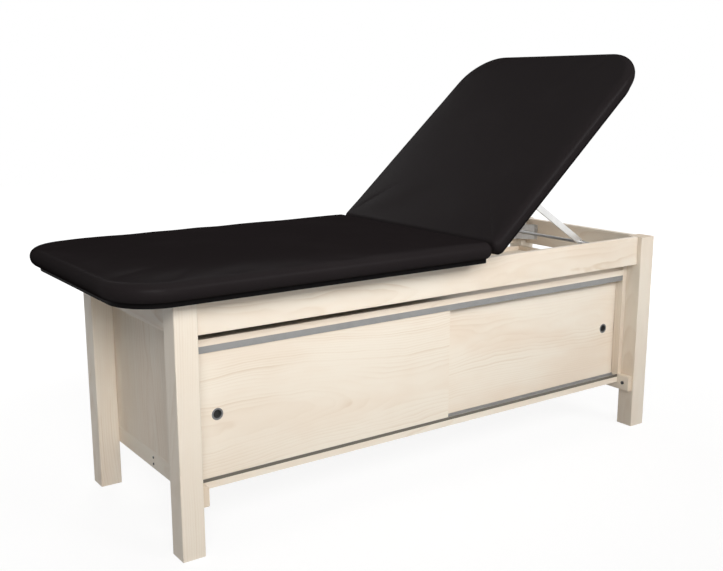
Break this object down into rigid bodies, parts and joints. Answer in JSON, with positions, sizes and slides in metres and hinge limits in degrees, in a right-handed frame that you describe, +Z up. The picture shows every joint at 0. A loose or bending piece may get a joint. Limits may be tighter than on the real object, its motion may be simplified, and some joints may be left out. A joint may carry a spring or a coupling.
{
  "type": "enclosed treatment table",
  "caption": "Padded wooden treatment table with a lifting backrest on a folding prop, over an enclosed cabinet with sliding doors.",
  "frame": {"origin": "on the floor under the middle of the whole object's bounding box, with the backrest raised as pictured", "axes": "+X from the foot end to the head end where the backrest is, -Y the side with the doors, +Z up"},
  "size_m": [1.897, 0.768, 1.2532],
  "materials": {
    "maple": "satin",
    "black_board": "satin",
    "vinyl": "satin",
    "steel": "satin",
    "dark_steel": "satin",
    "track": "satin",
    "pull": "satin"
  },
  "bodies": {
    "frame": {"leg_foot_front": "maple", "leg_foot_rear": "maple", "leg_head_front": "maple", "leg_head_rear": "maple", "apron_front": "maple", "apron_rear": "maple", "apron_foot": "maple", "apron_head": "maple", "bracket_foot_front": "steel", "bracket_foot_rear": "steel", "bracket_head_front": "steel", "bracket_head_rear": "steel", "hanger_bolts": "steel", "stretcher_foot": "maple", "stretcher_head": "maple", "stretcher_bolts": "dark_steel", "floor_screws": "dark_steel", "floor_bearer": "maple", "hinge_rail": "maple", "foot_cross_rail": "maple", "rack_front": "maple", "rack_rear": "maple", "cabinet_floor": "maple", "cabinet_top": "maple", "end_panel_foot": "maple", "end_panel_head": "maple", "back_panel": "maple", "centre_divider": "maple", "upper_track": "track", "lower_track": "track", "foot_board": "black_board", "foot_cushion": "vinyl", "hinge_rail_leaf_front": "steel", "hinge_rail_leaf_rear": "steel", "hinge_pin_front": "steel", "hinge_pin_rear": "steel"},
    "backrest": {"hinge_board_leaf_front": "steel", "hinge_board_leaf_rear": "steel", "backrest_board": "black_board", "backrest_cushion": "vinyl", "prop_bracket_front": "steel", "prop_bracket_rear": "steel", "pivot_pin_front": "dark_steel", "pivot_pin_rear": "dark_steel"},
    "prop": {"prop_arm_front": "steel", "prop_arm_rear": "steel", "prop_rod": "steel"},
    "front_door": {"door_front": "maple", "door_front_pull": "pull"},
    "rear_door": {"door_rear": "maple", "door_rear_pull": "pull"}
  },
  "joints": [
    {"name": "backrest_tilt", "type": "hinge", "parent": "frame", "child": "backrest", "pos_m": [0.1785, 0, 0.673], "axis": [0, -1, 0], "range_deg": [-41.5, 2]},
    {"name": "prop_swing", "type": "hinge", "parent": "backrest", "child": "prop", "pos_m": [0.44283, 0, 0.8134], "axis": [0, -1, 0], "range_deg": [-4.2, 83.2]},
    {"name": "front_door_slide", "type": "slide", "parent": "frame", "child": "front_door", "axis": [1, 0, 0], "range_m": [0, 0.759]},
    {"name": "rear_door_slide", "type": "slide", "parent": "frame", "child": "rear_door", "axis": [-1, 0, 0], "range_m": [0, 0.759]}
  ],
  "couplings": [
    {"joint": "prop_swing", "follows": "backrest_tilt", "ratio": -2}
  ]
}
